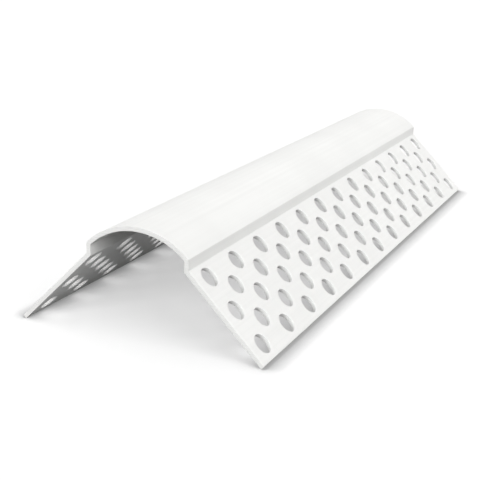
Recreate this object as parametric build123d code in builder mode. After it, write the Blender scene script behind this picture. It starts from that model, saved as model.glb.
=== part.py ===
from build123d import *
import os
from math import cos, radians, sin

# Bullnose corner bead: one length of rigid PVC, extruded to a thin rounded section and then
# punched with rows of holes. It stands as a tent, nose up, on the lower edges of its flanges.
# X runs along the bead, Y across it and Z up, with the origin on the floor at its middle.

# The cut length and the section, as the extrusion die gives it
length = 179.0
corner_angle = 90.0  # between the two wall faces that the flanges lie on
nose_radius = 19.05  # outside of the nose, the 3/4 inch radius of the finished corner
wall = 1.1
step_height = 2.7  # drop from the nose to the flange, filled flush with joint compound
flange_width = 27.0  # from the foot of the step to the edge, along the slope
corner_radius = 0.3  # on every corner of the section

# The punched holes, in rows along the flange, every other row set over by half a pitch
hole_diameter = 5.0
hole_pitch = 14.0
row_spacing = 4.8
hole_margin = 1.1  # least plastic left between a hole and the step, the edge or a cut end

# Each flange falls away from the nose by half of what the corner turns through
slope = (180 - corner_angle) / 2
along_y = cos(radians(slope))
along_z = sin(radians(slope))
die_radius = min(corner_radius, wall / 3)

# Heights above the floor: the rounded lower corner of each flange's edge touches it
edge_z = wall * along_y - die_radius * (along_y + along_z - 1)
foot_z = edge_z + flange_width * along_z
nose_centre_z = foot_z + step_height - nose_radius * along_y
shoulder_y = nose_radius * along_z

# The rows and holes that the flange has room for
hole_inset = hole_margin + hole_diameter / 2
row_count = int((flange_width - 2 * hole_inset) / row_spacing) + 1
holes_in_row = int((length - 2 * hole_inset) / hole_pitch) + 1

with BuildPart() as bullnose_bead:
    # The section is the outer face of the bead, thickened inwards by the wall
    cut_end = Plane(origin=(-length / 2, 0, 0), x_dir=(0, 1, 0), z_dir=(1, 0, 0))
    with BuildSketch(cut_end) as section:
        with BuildLine() as outer_face:
            nose = CenterArc((0, nose_centre_z), nose_radius, 90 - slope, 2 * slope)
            for side, shoulder in ((1, nose @ 0), (-1, nose @ 1)):
                step = Line(shoulder, shoulder - (0, step_height))
                Line(step @ 1, step @ 1 + (side * flange_width * along_y, -flange_width * along_z))
            offset(amount=wall, kind=Kind.INTERSECTION, side=Side.LEFT)
        make_face()
        fillet(section.vertices(), radius=die_radius)
    extrude(amount=length)

    # The punch goes square through each flange, from a plane in the middle of its wall
    for side in (1, -1):
        outward = Vector(0, side * along_z, along_y)
        foot = Vector(0, side * shoulder_y, foot_z) - outward * (wall / 2)
        with Locations(Plane(origin=foot, x_dir=(side, 0, 0), z_dir=outward)):
            for row in range(row_count):
                with Locations((0, hole_inset + row * row_spacing)):
                    with GridLocations(hole_pitch, row_spacing, holes_in_row - row % 2, 1):
                        Hole(hole_diameter / 2, depth=wall)

bullnose_bead.part.label = "bullnose_bead"
os.makedirs("parts", exist_ok=True)
export_step(bullnose_bead.part, "parts/bullnose_bead.step")
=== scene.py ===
from math import cos, pi, radians, sin, tan

import bmesh
import bpy
from mathutils import Matrix, Vector


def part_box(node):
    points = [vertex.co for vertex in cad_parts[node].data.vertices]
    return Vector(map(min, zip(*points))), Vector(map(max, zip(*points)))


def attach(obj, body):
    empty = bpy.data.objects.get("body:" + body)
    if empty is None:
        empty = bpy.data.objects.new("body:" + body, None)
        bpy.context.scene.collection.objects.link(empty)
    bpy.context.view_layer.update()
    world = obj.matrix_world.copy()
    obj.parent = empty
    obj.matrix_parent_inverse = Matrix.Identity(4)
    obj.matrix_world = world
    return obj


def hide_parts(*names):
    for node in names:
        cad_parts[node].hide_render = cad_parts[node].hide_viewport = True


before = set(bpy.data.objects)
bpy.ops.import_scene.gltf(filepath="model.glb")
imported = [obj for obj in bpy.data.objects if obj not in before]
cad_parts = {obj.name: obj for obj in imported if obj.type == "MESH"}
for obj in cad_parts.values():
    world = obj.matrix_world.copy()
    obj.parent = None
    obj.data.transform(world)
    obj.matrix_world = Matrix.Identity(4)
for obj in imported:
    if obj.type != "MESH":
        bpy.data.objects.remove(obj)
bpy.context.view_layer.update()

# The bead: one length of rigid white vinyl (PVC), extruded as a thin rounded nose between two flat
# flanges, punched with staggered rows of round holes and sawn off square. One flange is punched flat,
# folded down, joined to half of the nose and mirrored, and the wall is then added on the inner side.
mm = 0.001
cad_low, cad_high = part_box("bullnose_bead")
length = cad_high.x - cad_low.x
nose_radius = 19.05 * mm
wall = 1.1 * mm
step_height = 2.7 * mm
flange_width = 27.0 * mm
flange_slope = radians(45)
die_radius = 0.3 * mm  # the extrusion die's radius on every corner of the section
nose_centre = Vector((0, 0, cad_high.z - nose_radius))
shoulder = nose_centre + nose_radius * Vector((0, -sin(flange_slope), cos(flange_slope)))
foot = shoulder - Vector((0, 0, step_height))

hole_radius = 2.5 * mm
hole_pitch = 14.0 * mm
row_spacing = 4.8 * mm
first_row = 3.6 * mm  # from the foot of the step, down the flange
row_holes = (13, 12, 13, 12, 13)
hole_sides = 40
lip = 0.5 * mm  # the ring of plastic round a hole that the punch bears on
border = 0.42 * mm  # the strip along the flange's edges that the die rounds
near = 0.001 * mm  # points closer than this are the same


def select(kind, chosen):
    """Select in edit mode only the faces or edges of the bead that chosen accepts."""
    bpy.ops.mesh.select_all(action="DESELECT")
    edited = bmesh.from_edit_mesh(bpy.context.edit_object.data)
    for part in getattr(edited, kind):
        if chosen(part):
            part.select_set(True)
    bmesh.update_edit_mesh(bpy.context.edit_object.data)


bpy.ops.object.select_all(action="DESELECT")
bpy.ops.mesh.primitive_plane_add(size=1, location=(0, 0, 0))
bead = bpy.context.object
bead.name = "vinyl_bead"
bpy.ops.object.mode_set(mode="EDIT")
bpy.ops.transform.resize(value=(length, flange_width, 1), center_override=(0, 0, 0))
bpy.ops.transform.translate(value=(0, -flange_width / 2, 0))
bpy.ops.mesh.inset(thickness=border)
bpy.ops.mesh.delete(type="FACE")

# The punch takes out its discs, row by row, and leaves a lip round each hole
for row, holes in enumerate(row_holes):
    for hole in range(holes):
        place = ((hole - (holes - 1) / 2) * hole_pitch, -first_row - row * row_spacing, 0)
        bpy.ops.mesh.primitive_circle_add(
            vertices=hole_sides, radius=hole_radius + lip, fill_type="NGON", location=place)
select("edges", lambda edge: all(
    abs(v.co.x) < length / 2 - near and -flange_width + near < v.co.y < -near for v in edge.verts))
bpy.ops.mesh.fill(use_beauty=True)
select("faces", lambda face: len(face.verts) == hole_sides)
bpy.ops.mesh.inset(thickness=lip, use_individual=True)
bpy.ops.mesh.delete(type="FACE")
bpy.ops.object.mode_set(mode="OBJECT")
bead.rotation_euler = (flange_slope, 0, 0)
bead.location = foot
bpy.ops.object.transform_apply(location=True, rotation=True, scale=True)

# The flange's upper edge is drawn up into the step and turned over into half of the nose
nose_steps = 16
seam = 0.01 * mm  # the two halves of the nose join where they meet within this
bpy.ops.object.mode_set(mode="EDIT")
select("edges", lambda edge: all((v.co - foot).yz.length < near for v in edge.verts))
bpy.ops.mesh.extrude_region_move(TRANSFORM_OT_translate={"value": (0, 0, step_height)})
bpy.ops.mesh.spin(steps=nose_steps, angle=flange_slope, center=nose_centre, axis=(1, 0, 0))
bpy.ops.object.mode_set(mode="OBJECT")
mirror = bead.modifiers.new("other flange", "MIRROR")
mirror.use_axis = (False, True, False)
mirror.merge_threshold = seam
bpy.ops.object.modifier_apply(modifier=mirror.name)
bpy.ops.object.mode_set(mode="EDIT")
bpy.ops.mesh.select_all(action="SELECT")
bpy.ops.mesh.remove_doubles(threshold=near)
bpy.ops.mesh.normals_make_consistent(inside=False)
top = max(bmesh.from_edit_mesh(bead.data).faces, key=lambda face: face.calc_center_median().z)
if top.normal.z < 0:
    bpy.ops.mesh.flip_normals()
bpy.ops.object.mode_set(mode="OBJECT")
thicken = bead.modifiers.new("wall", "SOLIDIFY")
thicken.thickness = wall
thicken.offset = -1
thicken.use_even_offset = True
bpy.ops.object.modifier_apply(modifier=thicken.name)

# The die rounds the corners of the section, the punch both rims of a hole, a scraper the sawn ends
punched_in = 0.06 * mm  # the rim that the punch rolls over, on the outer face
punched_out = 0.05 * mm  # the rim that it breaks through, on the inner face
sawn_edge = 0.07 * mm
round_steps = 3  # across a corner that shows as round
thin_steps = 2  # across one that only catches the light
square_corner = radians(80)  # an edge turns by more than this at a square corner
bent_corner = radians(40)  # and by more than this where the step meets the nose or the flange
smooth_below = radians(35)
outward = Vector((0, sin(flange_slope), cos(flange_slope)))


def depth(point):
    """How far a point of a flange lies below the flange's outer face."""
    return -(Vector((0, abs(point.y), point.z)) - Vector((0, -foot.y, foot.z))).dot(outward)


def along(edge):
    """True for an edge that runs the whole length of the bead."""
    return abs(edge.verts[0].co.x - edge.verts[1].co.x) > length / 2


def rim(edge, below):
    """True for an edge of a hole's rim, that far below the flange's outer face."""
    inside = all(abs(v.co.x) < length / 2 - near for v in edge.verts)
    return inside and not along(edge) and all(abs(depth(v.co) - below) < near for v in edge.verts)


def sawn(edge):
    """True for an edge in the plane of a cut end."""
    return all(abs(v.co.x) > length / 2 - near for v in edge.verts)


bpy.ops.object.mode_set(mode="EDIT")
select("edges", lambda e: along(e) and e.calc_face_angle() > square_corner)
bpy.ops.mesh.bevel(offset=die_radius, segments=round_steps, affect="EDGES")
select("edges", lambda e: along(e) and bent_corner < e.calc_face_angle() < square_corner)
bpy.ops.mesh.bevel(offset=die_radius * tan(flange_slope / 2), segments=round_steps, affect="EDGES")
select("edges", lambda e: rim(e, 0) and e.calc_face_angle() > square_corner)
bpy.ops.mesh.bevel(offset=punched_in, segments=round_steps, affect="EDGES")
select("edges", lambda e: rim(e, wall) and e.calc_face_angle() > square_corner)
bpy.ops.mesh.bevel(offset=punched_out, segments=thin_steps, affect="EDGES")
select("edges", lambda e: sawn(e) and e.calc_face_angle() > square_corner)
bpy.ops.mesh.bevel(offset=sawn_edge, segments=thin_steps, affect="EDGES")
bpy.ops.mesh.select_all(action="SELECT")
bpy.ops.mesh.remove_doubles(threshold=near)
bpy.ops.object.mode_set(mode="OBJECT")
bpy.ops.object.shade_smooth_by_angle(angle=smooth_below)
even = bead.modifiers.new("flat faces stay flat", "WEIGHTED_NORMAL")
even.keep_sharp = True
bpy.ops.object.modifier_apply(modifier=even.name)


def linear(colour):
    """An sRGB hex colour as linear red, green, blue and alpha."""
    parts = [int(colour[i:i + 2], 16) / 255 for i in (1, 3, 5)]
    return [p / 12.92 if p <= 0.04045 else ((p + 0.055) / 1.055) ** 2.4 for p in parts] + [1.0]


def add_node(owner, kind, inputs, **settings):
    """Add a shader node to a material or world with its settings, and set or link its inputs."""
    node = owner.node_tree.nodes.new("ShaderNode" + kind)
    for name, value in settings.items():
        setattr(node, name, value)
    for name, value in inputs.items():
        if isinstance(value, bpy.types.NodeSocket):
            owner.node_tree.links.new(value, node.inputs[name])
        else:
            node.inputs[name].default_value = value
    return node


def new_material(name):
    """An empty node material."""
    material = bpy.data.materials.new(name)
    material.use_nodes = True
    material.node_tree.nodes.clear()
    return material


# Extruded PVC: satin white, with faint lines that the die draws along the bead and a slow
# cloudiness of the compound. The real lines are finer; these are as coarse as they need to show.
colour_a, colour_b, colour_out = 6, 7, 2  # a Mix node's sockets for colours, which share their names
pvc_ior = 1.54
mark_depth = 0.03 * mm
line_spacing = 0.9 * mm
line_length = 160 * mm
cloud_size = 22 * mm
skin = new_material("extruded white PVC")
place = add_node(skin, "TexCoord", {}).outputs["Object"]
drawn = add_node(skin, "Mapping", {
    "Vector": place, "Scale": (1 / line_length, 1 / line_spacing, 1 / line_spacing)}).outputs["Vector"]
lines = add_node(skin, "TexNoise", {"Vector": drawn, "Scale": 1.0, "Detail": 3.0}).outputs["Fac"]
clouds = add_node(skin, "TexNoise", {
    "Vector": place, "Scale": 1 / cloud_size, "Detail": 2.0}).outputs["Fac"]
mixed = add_node(skin, "Math", {0: lines, 1: clouds}, operation="MULTIPLY").outputs["Value"]
tone = add_node(skin, "MapRange", {"Value": mixed, "From Min": 0.1, "From Max": 0.4}).outputs["Result"]
colour = add_node(skin, "Mix", {
    "Factor": tone, colour_a: linear("#F1F1EF"), colour_b: linear("#F8F8F6")},
    data_type="RGBA").outputs[colour_out]
satin = add_node(skin, "MapRange", {
    "Value": lines, "From Min": 0.3, "From Max": 0.7, "To Min": 0.42, "To Max": 0.54}).outputs["Result"]
grooves = add_node(skin, "Bump", {
    "Height": lines, "Strength": 0.25, "Distance": mark_depth}).outputs["Normal"]
shader = add_node(skin, "BsdfPrincipled", {
    "Base Color": colour, "Roughness": satin, "IOR": pvc_ior, "Normal": grooves}).outputs["BSDF"]
add_node(skin, "OutputMaterial", {"Surface": shader})

# Sheared PVC, in the holes: a dull, slightly whitened wall where the punch tears through
shear_size = 0.35 * mm
sheared = new_material("punched white PVC")
place = add_node(sheared, "TexCoord", {}).outputs["Object"]
grit = add_node(sheared, "TexNoise", {
    "Vector": place, "Scale": 1 / shear_size, "Detail": 2.0}).outputs["Fac"]
colour = add_node(sheared, "Mix", {
    "Factor": grit, colour_a: linear("#F3F3F1"), colour_b: linear("#F9F9F8")},
    data_type="RGBA").outputs[colour_out]
torn = add_node(sheared, "Bump", {
    "Height": grit, "Strength": 0.2, "Distance": mark_depth}).outputs["Normal"]
shader = add_node(sheared, "BsdfPrincipled", {
    "Base Color": colour, "Roughness": 0.62, "IOR": pvc_ior, "Normal": torn}).outputs["BSDF"]
add_node(sheared, "OutputMaterial", {"Surface": shader})

# Sawn PVC, on the cut ends: matt, with the close marks of a fine saw across the section
saw_marks = 0.6 * mm
wave_spacing = 2 * pi / 20  # between two bands of the wave texture at a scale of 1
cut = new_material("sawn white PVC")
place = add_node(cut, "TexCoord", {}).outputs["Object"]
marks = add_node(cut, "TexWave", {
    "Vector": place, "Scale": wave_spacing / saw_marks, "Distortion": 1.5, "Detail": 2.0,
    "Detail Scale": 2.0}, bands_direction="Z").outputs["Fac"]
colour = add_node(cut, "Mix", {
    "Factor": marks, colour_a: linear("#F5F5F3"), colour_b: linear("#FAFAF8")},
    data_type="RGBA").outputs[colour_out]
scored = add_node(cut, "Bump", {
    "Height": marks, "Strength": 0.12, "Distance": mark_depth}).outputs["Normal"]
shader = add_node(cut, "BsdfPrincipled", {
    "Base Color": colour, "Roughness": 0.7, "IOR": pvc_ior, "Normal": scored}).outputs["BSDF"]
add_node(cut, "OutputMaterial", {"Surface": shader})

finishes = (skin, sheared, cut)
for material in finishes:
    bead.data.materials.append(material)
edgewise = 0.5  # a hole's wall stands square to its flange: its normal has less than this of the flange's
for face in bead.data.polygons:
    middle = face.center
    side = Vector((0, outward.y if middle.y > 0 else -outward.y, outward.z))
    down = (abs(middle.y) + foot.y) / cos(flange_slope)
    clear_of_edges = down < flange_width - wall and abs(middle.x) < length / 2 - wall
    if abs(middle.x) > length / 2 - near:
        face.material_index = finishes.index(cut)
    elif clear_of_edges and abs(face.normal.dot(side)) < edgewise:
        face.material_index = finishes.index(sheared)

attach(bead, "root")
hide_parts("bullnose_bead")

# The floor: a plain pale studio floor that the bead lies on. It is white to the eye and keeps the
# bead's shadow, but throws back less light than it shows, so that the bead's underside stays dark.
floor_side = 6.0
floor_glow = 0.42
contact_reach = 5 * mm  # how far from the bead's lower edges the painted contact shadow reaches
contact_lean = 24 * mm  # this far from its middle line the floor looks for the bead at 45 degrees
light_under_painted_shadow = 0.45  # painted shadow: what is left of the floor's light along those edges
edge_sky, clear_sky = 0.55, 0.97  # the share of open sky along them, and where the painted shadow ends


def background_rays(owner):
    """1 for rays that see the white background, from the camera, a mirror or glass, and 0 for others."""
    path = add_node(owner, "LightPath", {}).outputs
    mirrored = add_node(owner, "Math", {
        0: path["Is Glossy Ray"], 1: path["Is Transmission Ray"]}, operation="MAXIMUM").outputs["Value"]
    return add_node(owner, "Math", {
        0: path["Is Camera Ray"], 1: mirrored}, operation="MAXIMUM").outputs["Value"]


bpy.ops.object.select_all(action="DESELECT")
bpy.ops.mesh.primitive_plane_add(size=floor_side, location=(0, 0, 0))
floor = bpy.context.object
floor.name = "studio_floor"
paper = new_material("white paper floor")
shown = background_rays(paper)
# Painted contact shadow: ambient occlusion looks for the bead sideways and darkens the floor's colour and
# glow along its lower edges
place = add_node(paper, "TexCoord", {}).outputs["Object"]
inwards = add_node(paper, "Mapping", {
    "Vector": place, "Scale": (0, -1 / contact_lean, 0), "Location": (0, 0, 1)}).outputs["Vector"]
facing = add_node(paper, "VectorMath", {0: inwards}, operation="NORMALIZE").outputs["Vector"]
open_sky = add_node(paper, "AmbientOcclusion", {
    "Distance": contact_reach, "Normal": facing}, samples=16).outputs["AO"]
painted_contact_shadow = add_node(paper, "MapRange", {
    "Value": open_sky, "From Min": edge_sky, "From Max": clear_sky,
    "To Min": light_under_painted_shadow, "To Max": 1.0}).outputs["Result"]
pale = add_node(paper, "Mix", {
    "Factor": shown, colour_a: linear("#303030"), colour_b: linear("#D3D3D3")},
    data_type="RGBA").outputs[colour_out]
# the painted contact shadow darkens the floor's colour
pale = add_node(paper, "Mix", {
    "Factor": painted_contact_shadow, colour_a: linear("#000000"), colour_b: pale},
    data_type="RGBA").outputs[colour_out]
glow = add_node(paper, "Math", {0: shown, 1: floor_glow}, operation="MULTIPLY").outputs["Value"]
# and its glow
glow = add_node(paper, "Math", {0: glow, 1: painted_contact_shadow}, operation="MULTIPLY").outputs["Value"]
matt = add_node(paper, "BsdfDiffuse", {"Color": pale}).outputs["BSDF"]
lit = add_node(paper, "Emission", {"Color": linear("#FFFFFF"), "Strength": glow}).outputs["Emission"]
both = add_node(paper, "AddShader", {0: matt, 1: lit}).outputs["Shader"]
add_node(paper, "OutputMaterial", {"Surface": both})
floor.data.materials.append(paper)

# The light: an even white room and three broad soft lamps: off the near end, before the near
# flange and, weaker, behind. The first and last stand low, so their glare is kept off the bead.
room_light = 0.30
world = bpy.data.worlds.new("white room")
bpy.context.scene.world = world
world.use_nodes = True
world.node_tree.nodes.clear()
strength = add_node(world, "MapRange", {
    "Value": background_rays(world), "To Min": room_light, "To Max": 1.0}).outputs["Result"]
backdrop = add_node(world, "Background", {
    "Color": linear("#FFFFFF"), "Strength": strength}).outputs["Background"]
add_node(world, "OutputWorld", {"Surface": backdrop})
for name, direction, breadth, level, glare in (
        ("end_lamp", (-0.9, -0.1, 0.42), radians(40), 0.54, False),
        ("front_lamp", (-0.3, -0.72, 0.52), radians(45), 0.55, True),
        ("rear_lamp", (0.15, 0.8, 0.5), radians(60), 0.29, False)):
    lamp = bpy.data.lights.new(name, "SUN")
    lamp.angle = breadth
    lamp.energy = level * pi
    holder = bpy.data.objects.new(name, lamp)
    bpy.context.scene.collection.objects.link(holder)
    holder.rotation_euler = Vector(direction).to_track_quat("Z", "Y").to_euler()
    holder.visible_glossy = glare

# The camera: near the end of the bead, a little above it and turned slightly, as in the photograph.
# Its place and lens are those that put the holes and the section where the photograph shows them.
picture_size = 480
focal_pixels = 996.965
azimuth = radians(-64.928)
elevation = radians(17.472)
roll = radians(1.202)
distance = 317.149 * mm
target = Vector((0, 15.899, -2.095)) * mm
lens = bpy.data.cameras.new("camera")
lens.sensor_width = 36.0
lens.lens = focal_pixels * lens.sensor_width / picture_size
lens.clip_start = 0.01
camera = bpy.data.objects.new("camera", lens)
bpy.context.scene.collection.objects.link(camera)
back = Vector((sin(azimuth) * cos(elevation), -cos(azimuth) * cos(elevation), sin(elevation)))
level_right = Vector((cos(azimuth), sin(azimuth), 0))
level_up = back.cross(level_right)
right = cos(roll) * level_right + sin(roll) * level_up
up = cos(roll) * level_up - sin(roll) * level_right
turn = Matrix((right, up, back)).transposed().to_4x4()
camera.matrix_world = Matrix.Translation(target + distance * back) @ turn
bpy.context.scene.camera = camera
bpy.context.scene.view_settings.view_transform = "Standard"
